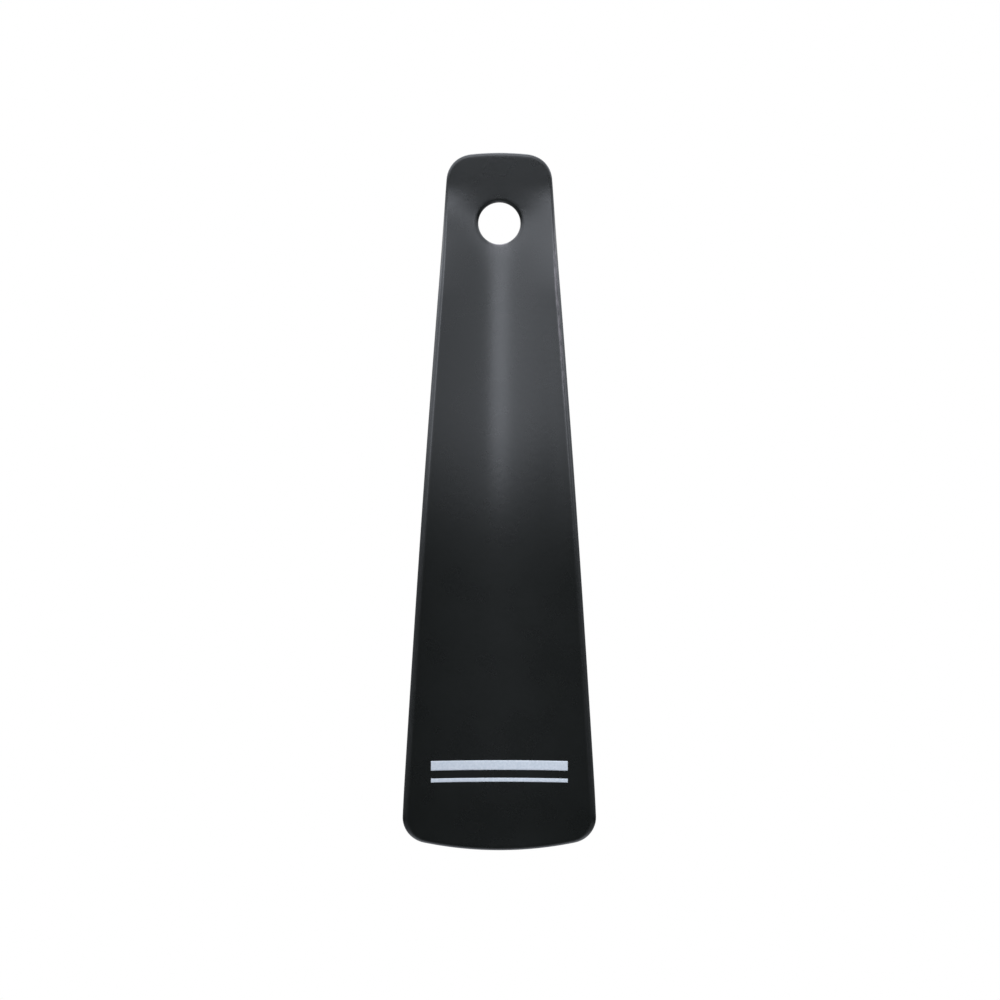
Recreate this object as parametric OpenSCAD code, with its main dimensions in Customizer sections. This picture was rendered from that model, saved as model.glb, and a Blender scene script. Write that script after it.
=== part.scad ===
// A short shoehorn, moulded in one piece, with a hole to hang it by and stripes of printed ink.
// +Z runs up to the hanging end, X runs across, and the hollow side faces -Y.
// The origin is the centre of the hanging hole, in the middle of the wall round it.

/* [Outline] */
// Length over the crowns of both ends
blade_length = 160; // [140:1:190]
// Width at the hanging end, between the sides drawn on to the end
handle_width = 22.5; // [20:0.1:30]
// Width at the tip, between the sides drawn on to the end
tip_width = 44.5; // [36:0.1:52]
// How far each side bows out from a straight line
side_bow = 0.4; // [0.1:0.05:1.5]
// How far each side of the flat hanging end stands out from the line of the side
end_spread = 0.45; // [0:0.05:0.8]
// Radius of the two corners of the hanging end
handle_corner = 6.2; // [3:0.1:8]
// Radius of the crown of the hanging end
handle_crown = 57; // [40:1:120]
// Radius of the two corners of the tip
tip_corner = 6; // [3:0.1:10]
// Radius of the crown of the tip
tip_crown = 75; // [60:1:150]

/* [Wall] */
// Wall thickness
wall = 2; // [1.6:0.1:3]
// Wall thickness at the edge of the tip
tip_wall = 1.5; // [1.4:0.1:2]
// Length over which the wall thins to the tip
tip_taper = 16; // [6:1:40]
// Radius of the rounding along the rim
rim_round = 0.65; // [0.3:0.05:0.65]

/* [Trough] */
// Slope of the trough at its edges, in degrees
trough_angle = 34; // [15:1:48]
// Length of the flat at the hanging end
flat_length = 7; // [4:0.5:12]
// Length over which the trough runs out into the flat
run_out = 26; // [12:0.5:40]

/* [Bends] */
// How far the handle leans back from the blade, in degrees
handle_lean = 10; // [0:0.5:14]
// From the hanging end to the middle of the upper bend
upper_bend_from_end = 16.5; // [12:0.5:30]
// Length of the upper bend
upper_bend = 9; // [6:0.5:20]
// From the hanging end to the middle of the lower bend
lower_bend_from_end = 77.5; // [55:0.5:95]
// Length of the lower bend
lower_bend = 47; // [20:0.5:70]

/* [Hanging hole] */
// Diameter of the hole
hole_diameter = 9.7; // [6:0.1:11]
// From the hanging end to the centre of the hole
hole_from_end = 16.3; // [12:0.1:20]
// Radius of the rounding round the mouths of the hole
hole_round = 0.8; // [0.2:0.05:0.8]

/* [Printed stripes] */
// Length of the stripes
stripe_length = 32; // [16:0.5:34]
// Height of the wide stripe
wide_stripe = 2.2; // [1:0.1:4]
// Height of the narrow stripe
narrow_stripe = 0.9; // [0.5:0.1:2]
// Gap between the stripes
stripe_gap = 1.8; // [0.8:0.1:4]
// From the tip to the middle of the gap
stripes_from_tip = 17.5; // [14:0.5:30]
// Thickness of the ink
ink = 0.12; // [0.1:0.01:0.3]

/* [Hidden] */

// Steps of the surfaces: across, down each side, round half a corner, round a quarter of the rim
across_steps = 20;
side_steps = 44;
corner_steps = 3;
rim_steps = 3;
// Steps round the hole and round each of its mouths, and the angle at which a mouth goes on straight
hole_steps = 96;
mouth_steps = 5;
mouth_end = 70;
// Least length of the hole that the rounding of a thin wall leaves straight
least_land = 0.3;
// Power by which the steps down each side crowd towards the bend at the hanging end
side_crowding = 1.5;
// Columns and rows of one stripe
stripe_columns = 20;
stripe_rows = 2;
// Small step for slopes, and the depth to which the ink's blank goes into the wall
slope_step = wall / 200;
sink = tip_wall / 4;
// How far the rows of the grid keep the curve of the end that they are nearest to
handle_reach = 2 * handle_corner;
tip_reach = 4 * tip_corner;

top_z = hole_from_end;
tip_z = hole_from_end - blade_length;
column_count = across_steps + 1;
row_count = side_steps + 2 * corner_steps + 1;

function mix(a, b, t) = a + (b - a) * t;
function direction(a) = [cos(a), sin(a)];
function angle_of(v) = atan2(v.y, v.x);

// The share of a smooth step that is done at t, and what that share adds up to along the way
function ease(t) = let (u = min(max(t, 0), 1)) u * u * (3 - 2 * u);
function eased_length(s, from, length) =
    let (u = min(max((s - from) / length, 0), 1))
    length * (u * u * u - u * u * u * u / 2) + max(s - from - length, 0);

// Centre at r1 from c1 and r2 from c2, to the left of the way from c1 to c2 where turn is 1
function meeting(c1, r1, c2, r2, turn) =
    let (d = norm(c2 - c1), along = (c2 - c1) / d, a = (r1 * r1 - r2 * r2 + d * d) / (2 * d))
    c1 + a * along + turn * sqrt(r1 * r1 - a * a) * [-along.y, along.x];

// Front view of the right half: crown arc, corner arc, bowed side, corner arc and tip arc, all tangent
side_top = [handle_width / 2, top_z];
side_bottom = [tip_width / 2, tip_z];
side_chord = norm(side_bottom - side_top);
side_radius = side_chord * side_chord / (8 * side_bow) + side_bow / 2;
side_way = (side_bottom - side_top) / side_chord;
side_centre = (side_top + side_bottom) / 2 + (side_bow - side_radius) * [-side_way.y, side_way.x];
handle_centre = [0, top_z - handle_crown];
tip_centre = [0, tip_z + tip_crown];
handle_knuckle = meeting(
    side_centre, side_radius - handle_corner, handle_centre, handle_crown - handle_corner, 1);
tip_knuckle = meeting(side_centre, side_radius - tip_corner, tip_centre, tip_crown - tip_corner, -1);
handle_end_angle = angle_of(handle_knuckle - handle_centre);
handle_side_angle = angle_of(handle_knuckle - side_centre);
tip_side_angle = angle_of(tip_knuckle - side_centre);
tip_end_angle = angle_of(tip_knuckle - tip_centre);

// Stations down the right side, each a centre, a radius and an angle, from mid corner to mid corner
side_stations = concat(
    [for (k = [0 : corner_steps - 1])
        [handle_knuckle, handle_corner,
         mix(handle_end_angle, handle_side_angle, 0.5 + 0.5 * k / corner_steps)]],
    [for (k = [0 : side_steps])
        [side_centre, side_radius,
         mix(handle_side_angle, tip_side_angle, pow(k / side_steps, side_crowding))]],
    [for (k = [1 : corner_steps])
        [tip_knuckle, tip_corner, mix(tip_side_angle, tip_end_angle, 0.5 * k / corner_steps)]]);

// A point on the outline drawn in by inset: at a station of the side, or on an end over a place across
function side_point(station, inset) = station[0] + (station[1] - inset) * direction(station[2]);
function end_z(x, inset, centre, crown, knuckle, corner, end_angle, up) =
    abs(x) < (crown - inset) * cos(end_angle)
        ? centre.y + up * sqrt((crown - inset) * (crown - inset) - x * x)
        : knuckle.y + up * sqrt((corner - inset) * (corner - inset) - pow(abs(x) - knuckle.x, 2));
function handle_z(x, inset) =
    end_z(x, inset, handle_centre, handle_crown, handle_knuckle, handle_corner, handle_end_angle, 1);
function tip_end_z(x, inset) =
    end_z(x, inset, tip_centre, tip_crown, tip_knuckle, tip_corner, tip_end_angle, -1);

// How much of the trough is there: none on the flat end, all of it past the run-out
function trough_share(z) = ease((top_z - flat_length - z) / run_out);

// The front view as a grid: rows run from side to side, curved at the ends as the ends are
function column_share(i) = sin(90 * (2 * i / across_steps - 1));
function keep_curve(distance, reach) = pow(max(1 - distance / reach, 0), 2);
function grid_row(j, inset) =
    let (
        edge = side_point(side_stations[j], inset),
        first = side_point(side_stations[0], inset),
        last = side_point(side_stations[row_count - 1], inset),
        near_handle = keep_curve(first.y - edge.y, handle_reach),
        near_tip = keep_curve(edge.y - last.y, tip_reach),
        row_half = edge.x + end_spread * (1 - trough_share(edge.y))
    )
    [for (i = [0 : across_steps])
        let (u = column_share(i))
        [row_half * u,
         edge.y + near_handle * (handle_z(first.x * u, inset) - first.y)
             + near_tip * (tip_end_z(last.x * u, inset) - last.y)]];

// The middle of the wall: a trough, an arc in each section, carried down a spine with two bends
lean = tan(handle_lean);
function spine_y(z) =
    let (s = top_z - z)
    lean * (eased_length(s, lower_bend_from_end - lower_bend / 2, lower_bend)
        - eased_length(s, upper_bend_from_end - upper_bend / 2, upper_bend));
function half_width(z) = mix(handle_width, tip_width, (top_z - z) / blade_length) / 2;
function trough_curvature(z) = sin(trough_angle * trough_share(z)) / half_width(z);
function trough_rise(x, z) =
    let (k = trough_curvature(z))
    k * x * x / (1 + sqrt(1 - k * k * x * x));
function form_y(x, z) = spine_y(z) - trough_rise(x, z);

// The wall is set so that the four quarter points round the hole lie about the origin
hole_radius = hole_diameter / 2;
hole_seat = (form_y(hole_radius, 0) + form_y(-hole_radius, 0)
    + form_y(0, hole_radius) + form_y(0, -hole_radius)) / 4;
function middle_y(x, z) = form_y(x, z) - hole_seat;
function slope_x(x, z) = (middle_y(x + slope_step, z) - middle_y(x - slope_step, z)) / (2 * slope_step);
function slope_z(x, z) = (middle_y(x, z + slope_step) - middle_y(x, z - slope_step)) / (2 * slope_step);
function wall_at(z) = mix(tip_wall, wall, ease((z - tip_z) / tip_taper));

// The point that lies off behind the middle of the wall, square to it, or in front where off is negative
function wall_point(p, off) =
    let (n = [-slope_x(p.x, p.y), 1, -slope_z(p.x, p.y)])
    [p.x, middle_y(p.x, p.y), p.y] + off * n / norm(n);

// Half of the wall at an angle round the rim: 0 on the faces, 90 on the edge
function rim_inset(a) = rim_round * (1 - sin(a));
function rim_half(z, a) = wall_at(z) / 2 - rim_round * (1 - cos(a));

// The grid's border as one loop of columns and rows, clockwise as seen from the front
border = concat(
    [for (i = [0 : across_steps - 1]) [i, 0]],
    [for (j = [0 : row_count - 2]) [across_steps, j]],
    [for (i = [across_steps : -1 : 1]) [i, row_count - 1]],
    [for (j = [row_count - 1 : -1 : 1]) [0, j]]);
border_count = len(border);

// The border drawn in, and set off to one side of the wall, at an angle round the rim
function rim_ring(a, side) =
    let (rows = [for (j = [0 : row_count - 1]) grid_row(j, rim_inset(a))])
    [for (b = border) let (p = rows[b[1]][b[0]]) wall_point(p, side * rim_half(p.y, a))];

function face_points(side) =
    [for (j = [0 : row_count - 1])
        for (p = grid_row(j, rim_round)) wall_point(p, side * wall_at(p.y) / 2)];

// Two triangles for a four-sided face
function halves(a, b, c, d) = [[a, b, c], [a, c, d]];

// A sheet with rounded edges: front face, back face and the rings of the rim between them
module blade_form() {
    face_count = column_count * row_count;
    ring_angles = [for (k = [1 : rim_steps]) 90 * k / rim_steps];
    rings = concat(
        [for (a = ring_angles) rim_ring(a, -1)],
        [for (k = [rim_steps - 1 : -1 : 0]) rim_ring(ring_angles[k], 1)]);
    function face_index(b, start) = start + b[1] * column_count + b[0];
    front_loop = [for (b = border) face_index(b, 0)];
    back_loop = [for (b = border) face_index(b, face_count)];
    ring_loops = [for (k = [0 : len(rings) - 1])
        [for (m = [0 : border_count - 1]) 2 * face_count + k * border_count + m]];
    loops = concat([front_loop], ring_loops, [back_loop]);
    points = concat(face_points(-1), face_points(1), [for (ring = rings) each ring]);
    cells = [for (j = [0 : row_count - 2]) for (i = [0 : across_steps - 1]) j * column_count + i];
    front_faces = [for (c = cells)
        each halves(c, c + 1, c + column_count + 1, c + column_count)];
    back_faces = [for (c = cells)
        each halves(face_count + c, face_count + c + column_count,
            face_count + c + column_count + 1, face_count + c + 1)];
    rim_faces = [for (k = [0 : len(loops) - 2]) for (m = [0 : border_count - 1])
        let (next = (m + 1) % border_count)
        each halves(loops[k][m], loops[k + 1][m], loops[k + 1][next], loops[k][next])];
    polyhedron(points, concat(front_faces, back_faces, rim_faces));
}

// The hole and its rounded mouths, as one revolved cutter, square to the wall at the hole's centre
module hole_cutter() {
    hole_tilt = atan(slope_z(0, 0));
    mouth_round = min(hole_round, (wall - least_land) / 2);
    half_land = wall / 2 - mouth_round;
    mouth = [for (k = [0 : mouth_steps])
        let (a = mouth_end * k / mouth_steps)
        [hole_radius + mouth_round * (1 - cos(a)), half_land + mouth_round * sin(a)]];
    flare = [mouth[mouth_steps].x + wall / tan(90 - mouth_end), mouth[mouth_steps].y + wall];
    half = concat(mouth, [flare]);
    profile = concat(
        [[0, flare.y]],
        [for (k = [len(half) - 1 : -1 : 0]) half[k]],
        [for (p = half) [p.x, -p.y]],
        [[0, -flare.y]]);
    rotate([-90 - hole_tilt, 0, 0])
        rotate_extrude($fn = hole_steps)
            polygon(profile);
}

module blade() {
    color("#1d1e20")
        difference() {
            blade_form();
            hole_cutter();
        }
}

// One stripe's blank: a strip of the front face, from inside the wall to the top of the ink
module stripe_blank(middle_z, height) {
    columns = stripe_columns + 1;
    layer = columns * (stripe_rows + 1);
    spots = [for (j = [0 : stripe_rows]) for (i = [0 : stripe_columns])
        [stripe_length * (i / stripe_columns - 0.5), middle_z + height * (0.5 - j / stripe_rows)]];
    points = concat(
        [for (p = spots) wall_point(p, -wall_at(p.y) / 2 - ink)],
        [for (p = spots) wall_point(p, -wall_at(p.y) / 2 + sink)]);
    cells = [for (j = [0 : stripe_rows - 1]) for (i = [0 : stripe_columns - 1]) j * columns + i];
    loop = concat(
        [for (i = [0 : stripe_columns - 1]) i],
        [for (j = [0 : stripe_rows - 1]) j * columns + stripe_columns],
        [for (i = [stripe_columns : -1 : 1]) stripe_rows * columns + i],
        [for (j = [stripe_rows : -1 : 1]) j * columns]);
    front_faces = [for (c = cells) each halves(c, c + 1, c + columns + 1, c + columns)];
    back_faces = [for (c = cells)
        each halves(layer + c, layer + c + columns, layer + c + columns + 1, layer + c + 1)];
    side_faces = [for (m = [0 : len(loop) - 1])
        let (a = loop[m], b = loop[(m + 1) % len(loop)])
        each halves(a, layer + a, layer + b, b)];
    polyhedron(points, concat(front_faces, back_faces, side_faces));
}

module printed_stripes() {
    gap_z = tip_z + stripes_from_tip;
    color("#b9c4d2")
        difference() {
            union() {
                stripe_blank(gap_z + (stripe_gap + wide_stripe) / 2, wide_stripe);
                stripe_blank(gap_z - (stripe_gap + narrow_stripe) / 2, narrow_stripe);
            }
            blade_form();
        }
}

blade();
printed_stripes();
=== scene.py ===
"""A short moulded shoehorn: a satin black blade with a hanging hole, and two printed stripes.

Sizes are metres in the part's own frame: +Z runs up to the hanging end, X runs across, the hollow
side faces -Y, and the origin is the centre of the hanging hole in the middle of the wall.
"""

import logging
import math
from dataclasses import dataclass, field
from enum import Enum
from functools import cached_property, partial, reduce
from typing import Any

import bpy
import numpy as np
import numpy.typing as npt
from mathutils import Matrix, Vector


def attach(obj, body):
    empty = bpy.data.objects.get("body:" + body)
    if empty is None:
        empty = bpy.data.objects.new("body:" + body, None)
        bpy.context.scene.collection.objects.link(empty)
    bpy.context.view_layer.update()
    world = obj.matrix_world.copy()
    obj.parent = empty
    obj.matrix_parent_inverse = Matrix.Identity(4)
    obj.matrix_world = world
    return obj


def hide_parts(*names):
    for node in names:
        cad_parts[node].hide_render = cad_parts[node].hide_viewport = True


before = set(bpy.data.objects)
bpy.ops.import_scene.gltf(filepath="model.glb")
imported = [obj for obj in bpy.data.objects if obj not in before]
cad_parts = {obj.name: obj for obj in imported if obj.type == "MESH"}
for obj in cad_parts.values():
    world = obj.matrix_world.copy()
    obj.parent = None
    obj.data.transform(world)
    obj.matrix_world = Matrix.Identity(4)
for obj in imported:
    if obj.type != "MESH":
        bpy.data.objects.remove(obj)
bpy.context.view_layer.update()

Array = npt.NDArray[np.float64]
Indices = npt.NDArray[np.int64]
Colour = tuple[float, float, float, float]
Tint = tuple[float, float, float]
Span = tuple[float, float]
Socket = bpy.types.NodeSocket

LOG = logging.getLogger("shoehorn")
MM = 0.001
QUARTER_TURN = 0.5 * math.pi
BODY = "root"
IMAGE_SIDE = 1000
EDGE_ATTRIBUTE = "edge"
COOL: Tint = (0.955, 1.0, 1.1)
WHITE: Tint = (1.0, 1.0, 1.0)
PAST_THE_BLADE: Span = (60 * MM, 61 * MM)


class Face(Enum):
    """A side of the wall: the hollow front looks to -Y, the back to +Y."""

    FRONT = -1.0
    BACK = 1.0


def smooth_step(share: Array) -> Array:
    """Goes from 0 to 1 with level ends: u squared times (3 - 2u), with u held between 0 and 1."""
    held = np.clip(share, 0.0, 1.0)
    return held * held * (3.0 - 2.0 * held)


def smooth_step_sum(way: Array, start: float, span: float) -> Array:
    """Adds up a smooth step along a way.

    The sum is span times (u cubed less half of u to the fourth) within the span, and goes on as a
    straight line past it.

    Args:
        way: Distances along the way.
        start: Where the step starts.
        span: The distance that the step takes.

    Returns:
        The sum at each distance.
    """
    held = np.clip((way - start) / span, 0.0, 1.0)
    return span * (held**3 - 0.5 * held**4) + np.maximum(way - start - span, 0.0)


def round_inset(radius: float, turn: Array) -> Array:
    """Gives how far a rounded edge is drawn in at a turn: the radius times (1 - sine)."""
    return radius * (1.0 - np.sin(turn))


def round_height(radius: float, half: Array, turn: Array) -> Array:
    """Gives a rounded edge's distance from the wall's middle: the half less radius times (1 - cosine)."""
    return half - radius * (1.0 - np.cos(turn))


def circles_meet(centre_a: Array, radius_a: float, centre_b: Array, radius_b: float, turn: int) -> Array:
    """Finds the point that lies at one radius from one centre and another radius from another.

    Args:
        centre_a: First centre.
        radius_a: Distance from the first centre.
        centre_b: Second centre.
        radius_b: Distance from the second centre.
        turn: 1 for the point to the left of the way from first to second centre, -1 for the right.

    Returns:
        The point, as two coordinates.
    """
    way = centre_b - centre_a
    apart = float(np.hypot(*way))
    along = way / apart
    reach = (radius_a**2 - radius_b**2 + apart**2) / (2.0 * apart)
    aside = turn * math.sqrt(radius_a**2 - reach**2)
    return centre_a + reach * along + aside * np.array([-along[1], along[0]])


def angle_of(way: Array) -> float:
    """Gives the angle of a direction in the front view, from +X towards +Z."""
    return math.atan2(way[1], way[0])


@dataclass(frozen=True)
class End:
    """One end of the outline: a wide crown arc between two corner arcs, all tangent."""

    centre: Array
    crown: float
    knuckle: Array
    corner: float
    up: int

    @cached_property
    def crown_angle(self) -> float:
        """The angle on the crown where the corner takes over."""
        return angle_of(self.knuckle - self.centre)

    def height(self, x: Array, inset: Array) -> Array:
        """Gives the end's height over a place across: a circle of the crown, then of the corner.

        Args:
            x: Places across.
            inset: How far the outline is drawn in, which shortens both radii.

        Returns:
            Heights of the end's outline.
        """
        crown = self.crown - inset
        corner = self.corner - inset
        on_crown = np.abs(x) < crown * math.cos(self.crown_angle)
        crown_rise = np.sqrt(np.maximum(crown**2 - x**2, 0.0))
        corner_rise = np.sqrt(np.maximum(corner**2 - (np.abs(x) - self.knuckle[0]) ** 2, 0.0))
        crown_z = self.centre[1] + self.up * crown_rise
        corner_z = self.knuckle[1] + self.up * corner_rise
        return np.where(on_crown, crown_z, corner_z)


@dataclass(frozen=True)
class Outline:
    """The blade's front view: bowed sides that widen to the tip, and two crowned ends."""

    length: float = 160 * MM
    handle_width: float = 22.5 * MM
    tip_width: float = 44.5 * MM
    side_bow: float = 0.4 * MM
    end_spread: float = 0.45 * MM
    flat_length: float = 7 * MM
    run_out: float = 26 * MM
    handle_corner: float = 6.2 * MM
    handle_crown: float = 57 * MM
    tip_corner: float = 6 * MM
    tip_crown: float = 75 * MM
    top_z: float = 16.3 * MM
    top_fade_corners: float = 2.0
    tip_fade_corners: float = 4.0
    corner_rows: int = 8
    top_rows: int = 4
    hole_rows: int = 22
    blade_rows: int = 84
    half_columns: int = 24
    hole_half_columns: int = 11
    hole_half_height: float = 7.9 * MM

    @property
    def tip_z(self) -> float:
        """Height of the tip's lowest point."""
        return self.top_z - self.length

    @cached_property
    def side_circle(self) -> tuple[Array, float]:
        """The right side's bow, as the circle over its chord with its rise.

        Returns:
            Centre and radius.
        """
        top = np.array([self.handle_width / 2, self.top_z])
        bottom = np.array([self.tip_width / 2, self.tip_z])
        chord = float(np.hypot(*(bottom - top)))
        radius = chord**2 / (8 * self.side_bow) + self.side_bow / 2
        way = (bottom - top) / chord
        return (top + bottom) / 2 + (self.side_bow - radius) * np.array([-way[1], way[0]]), radius

    @cached_property
    def handle_end(self) -> End:
        """The hanging end, with corners that touch its crown and the sides.

        Returns:
            The end.
        """
        side_centre, side_radius = self.side_circle
        centre = np.array([0.0, self.top_z - self.handle_crown])
        knuckle = circles_meet(
            side_centre, side_radius - self.handle_corner, centre, self.handle_crown - self.handle_corner, 1)
        return End(centre, self.handle_crown, knuckle, self.handle_corner, 1)

    @cached_property
    def tip_end(self) -> End:
        """The tip, with corners that touch its crown and the sides.

        Returns:
            The end.
        """
        side_centre, side_radius = self.side_circle
        centre = np.array([0.0, self.tip_z + self.tip_crown])
        knuckle = circles_meet(
            side_centre, side_radius - self.tip_corner, centre, self.tip_crown - self.tip_corner, -1)
        return End(centre, self.tip_crown, knuckle, self.tip_corner, -1)

    @cached_property
    def stations(self) -> tuple[Array, Array, Array]:
        """The rows' right ends, from mid corner to mid corner.

        The rows lie close together beside the hole, so that its collar is fine, and evenly below it.

        Returns:
            The arcs' centres and radii, and the angles on them, one a row.
        """
        side_centre, side_radius = self.side_circle
        top, tip = self.handle_end, self.tip_end
        top_side = angle_of(top.knuckle - side_centre)
        tip_side = angle_of(tip.knuckle - side_centre)
        first = side_centre[1] + side_radius * math.sin(top_side)
        last = side_centre[1] + side_radius * math.sin(tip_side)
        hole = self.hole_half_height
        heights = np.concatenate([
            np.linspace(first, hole, self.top_rows, endpoint=False),
            np.linspace(hole, -hole, self.hole_rows, endpoint=False),
            np.linspace(-hole, last, self.blade_rows + 1)])
        side_angles = np.arcsin((heights - side_centre[1]) / side_radius)
        half_turn = np.linspace(0.5, 1.0, self.corner_rows, endpoint=False)
        top_angles = top.crown_angle + (top_side - top.crown_angle) * half_turn
        tip_angles = tip_side + (tip.crown_angle - tip_side) * (1.0 - half_turn[::-1])
        counts = [self.corner_rows, heights.size, self.corner_rows]
        centres = np.repeat(np.array([top.knuckle, side_centre, tip.knuckle]), counts, axis=0)
        radii = np.repeat(np.array([top.corner, side_radius, tip.corner]), counts)
        return centres, radii, np.concatenate([top_angles, side_angles, tip_angles])

    @property
    def hole_block(self) -> tuple[slice, slice]:
        """The grid points that frame the hole.

        Returns:
            Their rows and their columns.
        """
        first_row = self.corner_rows + self.top_rows
        first_column = self.half_columns - self.hole_half_columns
        return (slice(first_row, first_row + self.hole_rows + 1),
                slice(first_column, self.half_columns + self.hole_half_columns + 1))

    def trough_share(self, z: Array) -> Array:
        """Gives how much of the trough is there: none on the flat end, all of it past the run-out."""
        return smooth_step((self.top_z - self.flat_length - z) / self.run_out)

    def grid(self, inset: Array) -> tuple[Array, Array]:
        """Lays the front view out as rows from side to side, curved near the ends as the ends are.

        A column keeps its share of the row's half width, which is a little more where the wall is
        flat. The shares follow a sine, so that columns crowd towards the sides. A row's own height
        is raised by the curve of each end, times the square of how near it is to that end.

        Args:
            inset: How far the outline is drawn in, one value for each grid.

        Returns:
            Places across and heights, each of grids by rows by columns.
        """
        centres, radii, angles = self.stations
        drawn_in = np.asarray(inset, dtype=float)[:, None]
        edge_x = centres[:, 0] + (radii - drawn_in) * np.cos(angles)
        edge_z = centres[:, 1] + (radii - drawn_in) * np.sin(angles)
        share = np.sin(QUARTER_TURN * np.linspace(-1.0, 1.0, 2 * self.half_columns + 1))
        top_fade = self.top_fade_corners * self.handle_corner
        tip_fade = self.tip_fade_corners * self.tip_corner
        near_top = np.maximum(1.0 - (edge_z[:, :1] - edge_z) / top_fade, 0.0) ** 2
        near_tip = np.maximum(1.0 - (edge_z - edge_z[:, -1:]) / tip_fade, 0.0) ** 2
        top_curve = self.handle_end.height(edge_x[:, :1] * share, drawn_in) - edge_z[:, :1]
        tip_curve = self.tip_end.height(edge_x[:, -1:] * share, drawn_in) - edge_z[:, -1:]
        half_width = edge_x + self.end_spread * (1.0 - self.trough_share(edge_z))
        x = half_width[:, :, None] * share
        z = edge_z[:, :, None] + near_top[:, :, None] * top_curve[:, None, :]
        return x, z + near_tip[:, :, None] * tip_curve[:, None, :]


@dataclass(frozen=True)
class Wall:
    """The blade's wall: a trough carried down a spine with two soft bends, thinner at the tip."""

    outline: Outline
    thickness: float = 2 * MM
    tip_thickness: float = 1.5 * MM
    tip_taper: float = 16 * MM
    trough_angle: float = math.radians(34)
    handle_lean: float = math.radians(10)
    upper_bend_from_end: float = 16.5 * MM
    upper_bend: float = 9 * MM
    lower_bend_from_end: float = 77.5 * MM
    lower_bend: float = 47 * MM
    hole_radius: float = 4.85 * MM
    slope_step: float = 0.01 * MM

    @cached_property
    def seat(self) -> float:
        """Depth of the dished wall round the hole: the mean of its four quarter points."""
        across = self.hole_radius * np.array([1.0, 0.0, -1.0, 0.0])
        return float(np.mean(self.form(across, np.roll(across, 1))))

    def form(self, x: Array, z: Array) -> Array:
        """Gives the wall's middle before it is seated on the hole.

        The spine is the lean's slope times the way since the lower bend, less the way since the
        upper bend. A section is a circular arc about the spine whose slope at the sides is the
        trough's angle, eased in from the flat at the hanging end.

        Args:
            x: Places across.
            z: Heights.

        Returns:
            Depths along Y.
        """
        way = self.outline.top_z - z
        lower = smooth_step_sum(way, self.lower_bend_from_end - self.lower_bend / 2, self.lower_bend)
        upper = smooth_step_sum(way, self.upper_bend_from_end - self.upper_bend / 2, self.upper_bend)
        spine = math.tan(self.handle_lean) * (lower - upper)
        widening = (self.outline.tip_width - self.outline.handle_width) / self.outline.length
        half_width = (self.outline.handle_width + widening * way) / 2
        curvature = np.sin(self.trough_angle * self.outline.trough_share(z)) / half_width
        return spine - curvature * x**2 / (1.0 + np.sqrt(1.0 - (curvature * x) ** 2))

    def middle(self, x: Array, z: Array) -> Array:
        """Gives the depth of the wall's middle, set so that it is 0 on the mean round the hole."""
        return self.form(x, z) - self.seat

    def half_thickness(self, z: Array) -> Array:
        """Gives half of the wall, which thins to the tip by a smooth step."""
        share = smooth_step((z - self.outline.tip_z) / self.tip_taper)
        return 0.5 * (self.tip_thickness + (self.thickness - self.tip_thickness) * share)

    def points(self, x: Array, z: Array, off: Array) -> Array:
        """Sets points off from the wall's middle, square to it.

        The way square to the wall is 1 along Y, and the wall's slopes with their signs changed
        along X and Z, made one long.

        Args:
            x: Places across.
            z: Heights.
            off: Distance towards the back, or towards the front where negative.

        Returns:
            Points, with the three coordinates last.
        """
        step = self.slope_step
        slope_x = (self.middle(x + step, z) - self.middle(x - step, z)) / (2 * step)
        slope_z = (self.middle(x, z + step) - self.middle(x, z - step)) / (2 * step)
        square = np.stack([-slope_x, np.ones_like(slope_x), -slope_z], axis=-1)
        square /= np.linalg.norm(square, axis=-1, keepdims=True)
        return np.stack([x, self.middle(x, z), z], axis=-1) + off[..., None] * square


def numbers_of(grid: Array, start: int) -> Indices:
    """Numbers a grid's points row by row, from a first number."""
    rows, columns = grid.shape[:2]
    return start + np.arange(rows * columns).reshape(rows, columns)


def border_of(grid: Array) -> Array:
    """Runs once round the edge of a grid's first two axes, clockwise from its first point."""
    return np.concatenate([grid[0, :-1], grid[:-1, -1], grid[-1, :0:-1], grid[:0:-1, 0]])


def cells_of(grid: Indices) -> Indices:
    """Makes the four-sided faces of a grid of point numbers, turned to the front."""
    return np.stack([grid[:-1, :-1], grid[1:, :-1], grid[1:, 1:], grid[:-1, 1:]], axis=-1)


def bridge(loops: Indices) -> Indices:
    """Joins each closed loop of point numbers to the next with four-sided faces.

    Args:
        loops: Point numbers, loops by places round the loop.

    Returns:
        Faces, turned outwards where the loops run clockwise from the front and go backwards.
    """
    turned = np.roll(loops, -1, axis=1)
    return np.stack([loops[:-1], turned[:-1], turned[1:], loops[1:]], axis=-1).reshape(-1, 4)


def mesh_piece(name: str, points: Array, faces: Indices, edge: Array) -> bpy.types.Object:
    """Puts points and faces into a smooth mesh object and drops points that no face uses.

    Args:
        name: The piece's name.
        points: Points, one a row.
        faces: Point numbers of the four-sided faces, one face a row.
        edge: How near each point is to a rounded edge, from 0 to 1.

    Returns:
        The object, at the origin.
    """
    used, renumbered = np.unique(faces, return_inverse=True)
    mesh = bpy.data.meshes.new(name)
    mesh.from_pydata(points[used].tolist(), [], renumbered.reshape(-1, 4).tolist())
    nearness = mesh.attributes.new(EDGE_ATTRIBUTE, "FLOAT", "POINT")
    nearness.data.foreach_set("value", edge[used].astype(np.float32))
    mesh.shade_smooth()
    mesh.update()
    piece = bpy.data.objects.new(name, mesh)
    bpy.context.scene.collection.objects.link(piece)
    return piece


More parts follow.
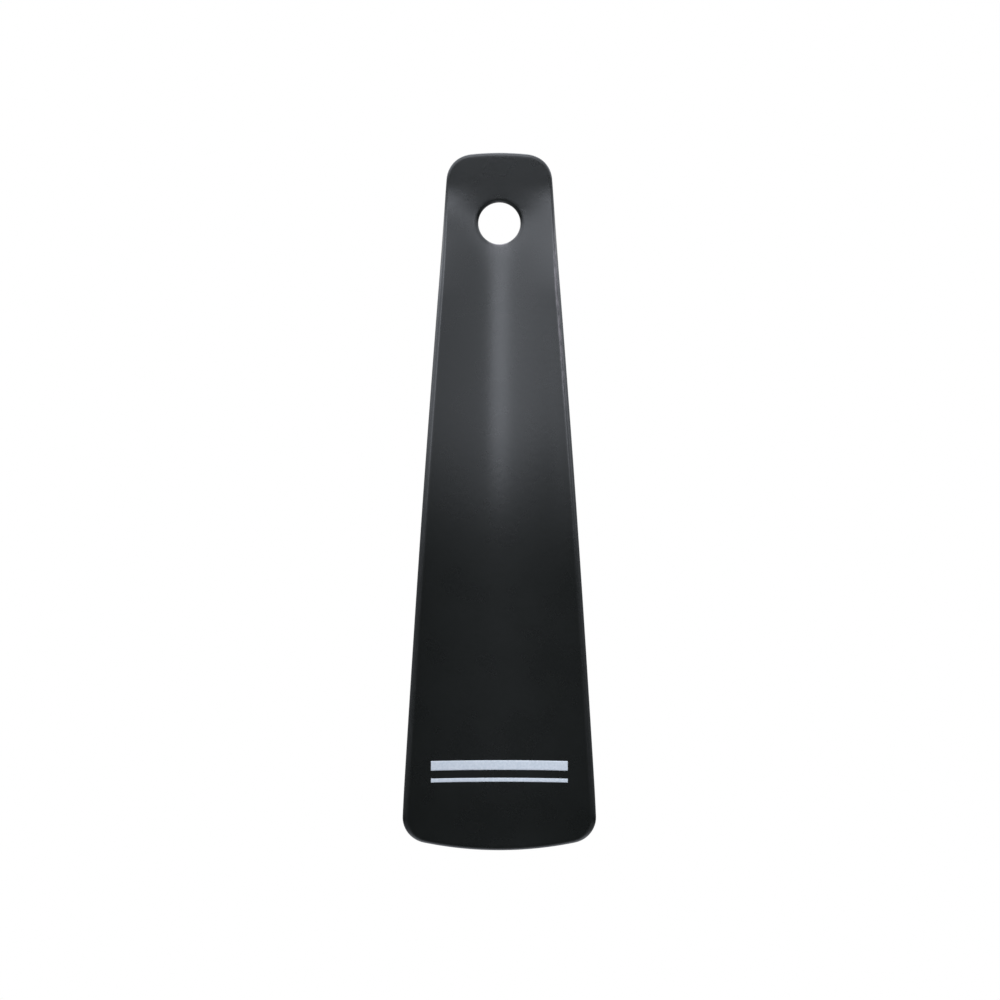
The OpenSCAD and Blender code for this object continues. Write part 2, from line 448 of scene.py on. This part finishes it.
class NodeBoard:
    """Adds nodes to a shader tree and wires them."""

    def __init__(self, tree: bpy.types.NodeTree) -> None:
        """Clears the tree."""
        self.tree = tree
        tree.nodes.clear()

    def add(self, kind: str, settings: dict[str, Any] | None = None, **inputs: Any) -> bpy.types.Node:
        """Adds a node, sets its options and fills or wires its inputs.

        Args:
            kind: The node's type without the ShaderNode prefix.
            settings: Options of the node itself.
            inputs: Values or output sockets, by input name with _ for a space, or in0, in1 by number.

        Returns:
            The node.
        """
        node = self.tree.nodes.new("ShaderNode" + kind)
        for option, value in (settings or {}).items():
            setattr(node, option, value)
        for label, value in inputs.items():
            by_number = label.startswith("in") and label[2:].isdigit()
            socket = node.inputs[int(label[2:])] if by_number else node.inputs[label.replace("_", " ")]
            if isinstance(value, Socket):
                self.tree.links.new(value, socket)
            else:
                socket.default_value = value
        return node

    def math(self, operation: str, first: Any, second: Any = 0.0, third: Any = 0.0) -> Socket:
        """Works on up to three numbers or sockets with one operation and gives the result."""
        node = self.add("Math", {"operation": operation}, in0=first, in1=second, in2=third)
        return node.outputs[0]

    def ramp(self, value: Any, span: Span, to_low: float = 0.0, to_high: float = 1.0) -> Socket:
        """Eases a value from a span to another range, with level ends, and gives the result."""
        node = self.add("MapRange", {"interpolation_type": "SMOOTHSTEP"}, Value=value, From_Min=span[0],
                        From_Max=span[1], To_Min=to_low, To_Max=to_high)
        return node.outputs[0]

    def blend(self, share: Any, first: Any, second: Any) -> Socket:
        """Goes from a first colour to a second by a share and gives the result."""
        # A Mix node takes its two colours by inputs 6 and 7, and gives the blended one by output 2.
        return self.add("Mix", {"data_type": "RGBA"}, in0=share, in6=first, in7=second).outputs[2]

    def bump(self, height: Any, depth: float, **under: Any) -> Socket:
        """Raises a pattern by a depth, over another bump where its Normal is given."""
        return self.add("Bump", Strength=1.0, Distance=depth, Height=height, **under).outputs[0]


def new_material(name: str) -> tuple[bpy.types.Material, NodeBoard]:
    """Makes an empty node material.

    Args:
        name: The material's name.

    Returns:
        The material and the board that fills it.
    """
    material = bpy.data.materials.new(name)
    material.use_nodes = True
    return material, NodeBoard(material.node_tree)


@dataclass(frozen=True)
class Noise:
    """A noise pattern: the size of its spots, and how many finer layers lie on them."""

    size: float
    detail: float

    def value(self, board: NodeBoard, place: Any) -> Socket:
        """Adds the noise at a place and gives its value, from 0 to 1."""
        return board.add("TexNoise", Vector=place, Scale=1 / self.size, Detail=self.detail).outputs["Fac"]


@dataclass(frozen=True)
class PaintedHighlightPatch:
    """A highlight painted on a patch of an edge in flecked pale colour: a box across X and Z with soft
    borders.

    Inner and outer bound it on the edge's rounding, from 0 on the face to 1 on the very edge.
    """

    left: Span
    bottom: Span
    top: Span
    right: Span = PAST_THE_BLADE
    inner: Span = (0.1, 0.7)
    outer: Span = (0.9, 1.0)
    face_share: float = 0.0
    flecks: Span = (0.35, 0.6)
    least_fleck: float = 0.25

    def share(self, board: NodeBoard, place: Any, edge: Any, fleck_noise: Any) -> Socket:
        """Gives how much of the painted highlight a point takes: the product of soft windows on X, Z, the
        edge and the flecks.

        Args:
            board: The finish's board.
            place: Object coordinates.
            edge: How near a point is to a rounded edge.
            fleck_noise: Noise that is drawn out along Z.

        Returns:
            The share, from 0 to 1.
        """
        spot = board.add("SeparateXYZ", Vector=place).outputs
        windows = (
            board.ramp(spot["X"], self.left),
            board.ramp(spot["X"], self.right, 1.0, 0.0),
            board.ramp(spot["Z"], self.bottom),
            board.ramp(spot["Z"], self.top, 1.0, 0.0),
            board.ramp(edge, self.inner, self.face_share),
            board.ramp(edge, self.outer, 1.0, 0.0),
            board.ramp(fleck_noise, self.flecks, self.least_fleck))
        return reduce(partial(board.math, "MULTIPLY"), windows)


@dataclass(frozen=True)
class SatinBlackPlastic:
    """Black plastic from a finely blasted mould, uneven in its gloss, rubbed on its edges, with painted
    highlights.
    """

    colour: Colour = (0.0043, 0.0052, 0.0044, 1.0)
    rubbed: Colour = (0.0098, 0.0102, 0.01, 1.0)
    # Pale colour painted on the upper right rim and the hole's lower lip as a flecked highlight.
    highlight_paint: Colour = (0.098, 0.088, 0.092, 1.0)
    roughness: float = 0.278
    roughness_swing: float = 0.012
    cloud: Noise = Noise(9 * MM, 4.0)
    cloud_span: Span = (0.3, 0.7)
    wave: Noise = Noise(16 * MM, 0.0)
    wave_depth: float = 0.08 * MM
    peel: Noise = Noise(1.2 * MM, 2.0)
    peel_depth: float = 0.012 * MM
    grain: Noise = Noise(0.22 * MM, 2.0)
    grain_depth: float = 0.0008 * MM
    fleck_noise: Noise = Noise(0.5 * MM, 3.0)
    fleck_stretch: float = 0.12
    rub_flecks: Span = (0.5, 0.7)
    # A painted highlight: a flecked pale line on the upper right rim.
    rim_highlight: PaintedHighlightPatch = PaintedHighlightPatch(
        left=(0.0, 4 * MM), bottom=(-50 * MM, -28 * MM), top=(-10 * MM, 1 * MM))
    # A painted highlight: a flecked pale crescent on the hole's lower lip, spreading a little onto the face
    # below.
    lip_highlight: PaintedHighlightPatch = PaintedHighlightPatch(
        left=(-3.4 * MM, -1.2 * MM), right=(1.2 * MM, 3.4 * MM), bottom=(-9 * MM, -5.6 * MM),
        top=(-4.6 * MM, -3.6 * MM), inner=(0.1, 0.6), face_share=0.2, least_fleck=0.6)

    def material(self) -> bpy.types.Material:
        """Builds the finish: clouded gloss over a slow wave, a peel and a fine grain, with rubbed edges and
        painted highlights.

        Returns:
            The material.
        """
        material, board = new_material("satin_black_plastic")
        place = board.add("TexCoord").outputs["Object"]
        edge = board.add("Attribute", {"attribute_name": EDGE_ATTRIBUTE}).outputs["Fac"]
        drawn_out = board.add("Mapping", Vector=place, Scale=(1.0, 1.0, self.fleck_stretch)).outputs[0]
        fleck_noise = self.fleck_noise.value(board, drawn_out)
        cloud = self.cloud.value(board, place)
        glossy, dull = self.roughness - self.roughness_swing, self.roughness + self.roughness_swing
        roughness = board.ramp(cloud, self.cloud_span, glossy, dull)
        rub = board.math("MULTIPLY", edge, board.ramp(fleck_noise, self.rub_flecks))
        patches = (self.rim_highlight, self.lip_highlight)
        # Mixes in the painted highlights on the upper right rim and the hole's lower lip.
        highlight_share = board.math("MAXIMUM", *(patch.share(board, place, edge, fleck_noise) for patch in patches))
        colour = board.blend(highlight_share, board.blend(rub, self.colour, self.rubbed), self.highlight_paint)
        waved = board.bump(self.wave.value(board, place), self.wave_depth)
        peeled = board.bump(self.peel.value(board, place), self.peel_depth, Normal=waved)
        grained = board.bump(self.grain.value(board, place), self.grain_depth, Normal=peeled)
        skin = board.add("BsdfPrincipled", Base_Color=colour, Roughness=roughness, Normal=grained)
        board.add("OutputMaterial", Surface=skin.outputs[0])
        return material


@dataclass(frozen=True)
class PaleInk:
    """Flat blue-grey printing ink, a little thin in places."""

    colour: Colour = (0.575, 0.61, 0.645, 1.0)
    thin: Colour = (0.505, 0.55, 0.59, 1.0)
    roughness: float = 0.5
    mottle: Noise = Noise(0.5 * MM, 4.0)
    mottle_span: Span = (0.35, 0.65)
    mottle_depth: float = 0.002 * MM

    def material(self) -> bpy.types.Material:
        """Builds the finish: two close tones in a fine mottle that also roughens the film.

        Returns:
            The material.
        """
        material, board = new_material("pale_ink")
        mottle = self.mottle.value(board, board.add("TexCoord").outputs["Object"])
        colour = board.blend(board.ramp(mottle, self.mottle_span), self.thin, self.colour)
        uneven = board.bump(mottle, self.mottle_depth)
        film = board.add("BsdfPrincipled", Base_Color=colour, Roughness=self.roughness, Normal=uneven)
        board.add("OutputMaterial", Surface=film.outputs[0])
        return material


@dataclass
class Blade:
    """The moulding: front and back faces, a rounded rim, and a hanging hole with rounded mouths."""

    wall: Wall
    rim_round: float = 0.65 * MM
    hole_round: float = 0.8 * MM
    round_steps: int = 8
    collar_rings: int = 8
    finish: SatinBlackPlastic = field(default_factory=SatinBlackPlastic)

    def round_turns(self) -> Array:
        """Gives the turns of a rounded edge's rings, from just off the face to the very edge."""
        return np.linspace(0.0, QUARTER_TURN, self.round_steps + 1)[1:]

    def both_faces(self, x: Array, z: Array, off: Array) -> tuple[Array, Array]:
        """Sets points off from the wall's middle to the front and, the same, to the back."""
        return self.wall.points(x, z, Face.FRONT.value * off), self.wall.points(x, z, Face.BACK.value * off)

    def faces(self) -> tuple[Array, Array]:
        """Lays the outline's grid on both sides of the wall, half of the wall from its middle.

        Returns:
            Front and back points, each rows by columns by three.
        """
        x, z = self.wall.outline.grid(np.array([self.rim_round]))
        return self.both_faces(x[0], z[0], self.wall.half_thickness(z[0]))

    def rim(self) -> tuple[Array, Array]:
        """Carries the rounded edge round the outline, from the front face to the back face.

        Each ring is the outline, drawn in and set off from the wall's middle as the quarter circle
        of the rounding says at that turn.

        Returns:
            Points, rings by places round by three, and how near each ring is to the edge.
        """
        turn = self.round_turns()
        x, z = self.wall.outline.grid(round_inset(self.rim_round, turn))
        loop_x = np.stack([border_of(grid) for grid in x])
        loop_z = np.stack([border_of(grid) for grid in z])
        off = round_height(self.rim_round, self.wall.half_thickness(loop_z), turn[:, None])
        front, back = self.both_faces(loop_x, loop_z, off)
        return np.concatenate([front, back[::-1]]), np.sin(np.concatenate([turn, turn[::-1]]))

    def hole(self) -> tuple[Array, Array]:
        """Carries rings from the frame round the hole inwards, through the hole and out again.

        The collar goes from the frame to a circle along straight lines. The circle then follows the
        rounded mouth into the hole.

        Returns:
            Points, rings by places round by three, and how near each ring is to the hole's edge.
        """
        x, z = self.wall.outline.grid(np.array([self.rim_round]))
        rows, columns = self.wall.outline.hole_block
        frame_x, frame_z = border_of(x[0][rows, columns]), border_of(z[0][rows, columns])
        bearing = np.arctan2(frame_z, frame_x)
        mouth = self.wall.hole_radius + self.hole_round
        share = np.linspace(0.0, 1.0, self.collar_rings + 1)[1:, None]
        collar_x = frame_x + share * (mouth * np.cos(bearing) - frame_x)
        collar_z = frame_z + share * (mouth * np.sin(bearing) - frame_z)
        turn = self.round_turns()[:, None]
        radius = self.wall.hole_radius + round_inset(self.hole_round, turn)
        ring_x = np.concatenate([collar_x, radius * np.cos(bearing)])
        ring_z = np.concatenate([collar_z, radius * np.sin(bearing)])
        ring_turn = np.concatenate([np.zeros_like(share), turn])
        off = round_height(self.hole_round, self.wall.half_thickness(ring_z), ring_turn)
        front, back = self.both_faces(ring_x, ring_z, off)
        edge = np.sin(ring_turn[:, 0])
        return np.concatenate([front, back[::-1]]), np.concatenate([edge, edge[::-1]])

    def build(self) -> bpy.types.Object:
        """Joins faces, rim and hole into one closed mesh that stands for the blade.

        Returns:
            The piece.
        """
        front, back = self.faces()
        rim, rim_edge = self.rim()
        hole, hole_edge = self.hole()
        parts = [front, back, rim, hole]
        starts = np.cumsum([0] + [part.shape[0] * part.shape[1] for part in parts])
        numbers = [numbers_of(part, start) for part, start in zip(parts, starts)]
        front_no, back_no, rim_no, hole_no = numbers
        rows, columns = self.wall.outline.hole_block
        solid = np.ones((front.shape[0] - 1, front.shape[1] - 1), dtype=bool)
        solid[rows.start:rows.stop - 1, columns.start:columns.stop - 1] = False
        rim_loops = np.vstack([border_of(front_no), rim_no, border_of(back_no)])
        hole_loops = np.vstack([
            border_of(front_no[rows, columns]), hole_no, border_of(back_no[rows, columns])])
        quads = np.concatenate([
            cells_of(front_no)[solid],
            cells_of(back_no)[solid][:, ::-1],
            bridge(rim_loops),
            bridge(hole_loops)[:, ::-1]])
        edge = np.concatenate([
            np.zeros(front_no.size + back_no.size),
            np.repeat(rim_edge, rim.shape[1]),
            np.repeat(hole_edge, hole.shape[1])])
        points = np.concatenate([part.reshape(-1, 3) for part in parts])
        piece = mesh_piece("blade_moulding", points, quads, edge)
        piece.data.materials.append(self.finish.material())
        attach(piece, BODY)
        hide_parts("blade")
        return piece


@dataclass
class PrintedStripes:
    """Two stripes of ink across the hollow side, a wide one over a narrow one."""

    wall: Wall
    length: float = 32 * MM
    wide: float = 2.2 * MM
    narrow: float = 0.9 * MM
    gap: float = 1.8 * MM
    from_tip: float = 17.5 * MM
    film: float = 0.06 * MM
    film_edge: float = 0.12 * MM
    sink: float = 0.05 * MM
    columns: int = 72
    rows: int = 8
    finish: PaleInk = field(default_factory=PaleInk)

    def layer(self, middle_z: float, height: float, margin: float, level: float) -> Array:
        """Lays one layer of a stripe: an even grid that follows the hollow side at one distance.

        Args:
            middle_z: Height of the stripe's middle.
            height: The stripe's height.
            margin: How far the layer is drawn in all round.
            level: How far it stands off the wall.

        Returns:
            Points, rows by columns by three.
        """
        across = np.linspace(-0.5, 0.5, self.columns + 1) * (self.length - 2 * margin)
        up = np.linspace(0.5, -0.5, self.rows + 1) * (height - 2 * margin)
        x, z = np.meshgrid(across, middle_z + up)
        return self.wall.points(x, z, Face.FRONT.value * (self.wall.half_thickness(z) + level))

    def stripe(self, middle_z: float, height: float) -> tuple[Array, Indices]:
        """Makes one stripe as a closed film.

        The film stands at its full thickness inside its edge, slopes down to the wall over the edge,
        and ends in an underside that is sunk in the wall.

        Args:
            middle_z: Height of the stripe's middle.
            height: The stripe's height.

        Returns:
            Points, one a row, and four-sided faces, one a row.
        """
        top = self.layer(middle_z, height, self.film_edge, self.film)
        foot = border_of(self.layer(middle_z, height, 0.0, 0.0))
        under = self.layer(middle_z, height, 0.0, -self.sink)
        top_no = numbers_of(top, 0)
        foot_no = top_no.size + np.arange(len(foot))
        under_no = numbers_of(under, top_no.size + len(foot))
        faces = np.concatenate([
            cells_of(top_no).reshape(-1, 4),
            bridge(np.vstack([border_of(top_no), foot_no, border_of(under_no)])),
            cells_of(under_no).reshape(-1, 4)[:, ::-1]])
        return np.concatenate([top.reshape(-1, 3), foot, under.reshape(-1, 3)]), faces

    def build(self) -> bpy.types.Object:
        """Joins the two stripes into the piece that stands for the print.

        Returns:
            The piece.
        """
        gap_z = self.wall.outline.tip_z + self.from_tip
        wide, wide_faces = self.stripe(gap_z + (self.gap + self.wide) / 2, self.wide)
        narrow, narrow_faces = self.stripe(gap_z - (self.gap + self.narrow) / 2, self.narrow)
        points = np.concatenate([wide, narrow])
        faces = np.concatenate([wide_faces, narrow_faces + len(wide)])
        piece = mesh_piece("printed_stripes_film", points, faces, np.zeros(len(points)))
        piece.data.materials.append(self.finish.material())
        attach(piece, BODY)
        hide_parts("printed_stripes")
        return piece


@dataclass(frozen=True)
class Softbox:
    """A rectangular lamp that faces the object, with its bearing and its height in degrees."""

    name: str
    bearing: float
    height: float
    width: float
    tall: float
    radiance: float
    distance: float = 0.9
    tint: Tint = COOL

    def build(self, target: Vector) -> bpy.types.Object:
        """Hangs the lamp at its bearing from straight in front and its height angle.

        Its power is pi times its radiance times its area.

        Args:
            target: The point that it faces.

        Returns:
            The lamp.
        """
        bearing, height = math.radians(self.bearing), math.radians(self.height)
        level = math.cos(height)
        way = Vector((math.sin(bearing) * level, -math.cos(bearing) * level, math.sin(height)))
        light = bpy.data.lights.new(self.name, "AREA")
        light.shape = "RECTANGLE"
        light.size, light.size_y = self.width, self.tall
        light.color = self.tint
        light.energy = math.pi * self.radiance * self.width * self.tall
        lamp = bpy.data.objects.new(self.name, light)
        lamp.location = target + self.distance * way
        lamp.rotation_euler = way.to_track_quat("Z", "Y").to_euler()
        lamp.visible_camera = False
        bpy.context.scene.collection.objects.link(lamp)
        return lamp


@dataclass(frozen=True)
class Room:
    """The room's own light: white to the camera, brighter above, and pale ground well below.

    The back of the room is paper, which glossy and clear surfaces show as white.
    """

    level: float = 0.131
    rise: float = 2.43
    ground_level: float = 0.4
    ground: Span = (-0.45, -0.22)
    paper: Span = (0.45, 0.85)
    tint: Tint = COOL

    def build(self) -> None:
        """Makes the world: a level that rises with Z, with the ground and the white laid over it."""
        world = bpy.data.worlds.new("studio")
        world.use_nodes = True
        bpy.context.scene.world = world
        board = NodeBoard(world.node_tree)
        way = board.add("SeparateXYZ", Vector=board.add("TexCoord").outputs["Generated"]).outputs
        path = board.add("LightPath").outputs
        mirrored = board.math("MAXIMUM", path["Is Glossy Ray"], path["Is Transmission Ray"])
        on_paper = board.math("MULTIPLY", mirrored, board.ramp(way["Y"], self.paper))
        white = board.math("MAXIMUM", path["Is Camera Ray"], on_paper)
        ground = board.ramp(way["Z"], self.ground, self.ground_level, 0.0)
        above = board.math("MULTIPLY_ADD", way["Z"], self.rise, self.level)
        room = board.math("MAXIMUM", above, ground)
        level = board.add("Mix", {"data_type": "FLOAT"}, in0=white, in2=room, in3=1.0).outputs[0]
        tint = board.blend(white, (*self.tint, 1.0), (*WHITE, 1.0))
        sky = board.add("Background", Strength=level, Color=tint)
        board.add("OutputWorld", Surface=sky.outputs[0])


@dataclass(frozen=True)
class PaleFloorPaint:
    """Matt pale paint that fades out towards the floor's edge and isn't seen from below."""

    colour: Colour = (0.8, 0.8, 0.8, 1.0)
    full_share: float = 0.25

    def material(self, radius: float) -> bpy.types.Material:
        """Builds the finish: full near the middle, clear at the edge and on the underside.

        Args:
            radius: The floor's radius.

        Returns:
            The material.
        """
        material, board = new_material("pale_floor")
        place = board.add("SeparateXYZ", Vector=board.add("TexCoord").outputs["Object"]).outputs
        across = board.math("POWER", place["X"], 2.0)
        along = board.math("POWER", place["Y"], 2.0)
        away = board.math("SQRT", board.math("ADD", across, along))
        fade = board.ramp(away, (self.full_share * radius, radius))
        below = board.add("NewGeometry").outputs["Backfacing"]
        paint = board.add("BsdfDiffuse", Color=self.colour).outputs[0]
        clear = board.add("BsdfTransparent").outputs[0]
        unseen = board.math("MAXIMUM", fade, below)
        surface = board.add("MixShader", in0=unseen, in1=paint, in2=clear)
        board.add("OutputMaterial", Surface=surface.outputs[0])
        return material


@dataclass
class Floor:
    """A round floor well below the object."""

    z: float = -0.45
    radius: float = 0.32
    rings: int = 12
    spokes: int = 64
    finish: PaleFloorPaint = field(default_factory=PaleFloorPaint)

    def build(self) -> bpy.types.Object:
        """Lays the floor: even circles round the middle, joined, with one face inside the smallest.

        Returns:
            The floor.
        """
        radii = np.linspace(0.0, self.radius, self.rings + 1)[1:]
        bearings = np.linspace(0.0, 2 * math.pi, self.spokes, endpoint=False)
        radius, bearing = np.meshgrid(radii, bearings, indexing="ij")
        level = np.full_like(radius, self.z)
        circles = np.stack([radius * np.cos(bearing), radius * np.sin(bearing), level], axis=-1)
        numbers = numbers_of(circles, 0)
        faces = bridge(numbers)[:, ::-1].tolist() + [numbers[0].tolist()]
        mesh = bpy.data.meshes.new("floor")
        mesh.from_pydata(circles.reshape(-1, 3).tolist(), [], faces)
        mesh.materials.append(self.finish.material(self.radius))
        floor = bpy.data.objects.new("floor", mesh)
        bpy.context.scene.collection.objects.link(floor)
        return floor


@dataclass
class Studio:
    """A pale floor, a lit room, softboxes all round and the camera straight in front."""

    aim: Vector = field(default_factory=lambda: Vector((0.0, 0.0, -63.7 * MM)))
    camera_distance: float = 1.2
    camera_side: float = 0.15 * MM
    pixels_per_metre: float = 4340.0
    sensor: float = 36.0
    floor: Floor = field(default_factory=Floor)
    room: Room = field(default_factory=Room)
    boxes: tuple[Softbox, ...] = (
        Softbox("front_strip", bearing=0.0, height=34.15, width=0.263, tall=0.684, radiance=3.1),
        Softbox("left_box", bearing=-43.0, height=35.3, width=1.08, tall=0.658, radiance=1.15),
        Softbox("right_box", bearing=42.0, height=18.7, width=0.92, tall=0.29, radiance=0.42),
        Softbox("right_side_box", bearing=88.0, height=24.0, width=0.4, tall=0.5, radiance=1.3),
        Softbox("left_edge_box", bearing=-112.0, height=30.0, width=0.7, tall=0.5, radiance=1.6),
        Softbox("right_edge_box", bearing=112.0, height=30.0, width=0.7, tall=0.5, radiance=1.0),
        Softbox("left_low_box", bearing=-64.0, height=11.0, width=0.36, tall=0.24, radiance=0.4),
        Softbox("top_back_box", bearing=180.0, height=62.0, width=0.6, tall=0.5, radiance=3.0))

    def build_camera(self) -> bpy.types.Object:
        """Sets the camera level in front, with the lens that gives the wanted image scale.

        Returns:
            The camera.
        """
        data = bpy.data.cameras.new("camera")
        data.sensor_width = self.sensor
        data.lens = self.pixels_per_metre * self.camera_distance * self.sensor / IMAGE_SIDE
        camera = bpy.data.objects.new("camera", data)
        camera.location = self.aim + Vector((self.camera_side, -self.camera_distance, 0.0))
        camera.rotation_euler = (QUARTER_TURN, 0.0, 0.0)
        bpy.context.scene.collection.objects.link(camera)
        bpy.context.scene.camera = camera
        return camera

    def build(self) -> None:
        """Builds the floor, the room, the lamps and the camera."""
        self.floor.build()
        self.room.build()
        for box in self.boxes:
            box.build(self.aim)
        self.build_camera()
        bpy.context.scene.view_settings.view_transform = "Standard"


def main() -> None:
    """Builds the blade, the print and the studio, and reports each piece."""
    logging.basicConfig(level=logging.INFO, format="%(name)s: %(message)s")
    wall = Wall(Outline())
    for piece in (Blade(wall).build(), PrintedStripes(wall).build()):
        LOG.info("%s has %d faces", piece.name, len(piece.data.polygons))
    Studio().build()
    LOG.info("studio is set")


if __name__ == "__main__":
    main()
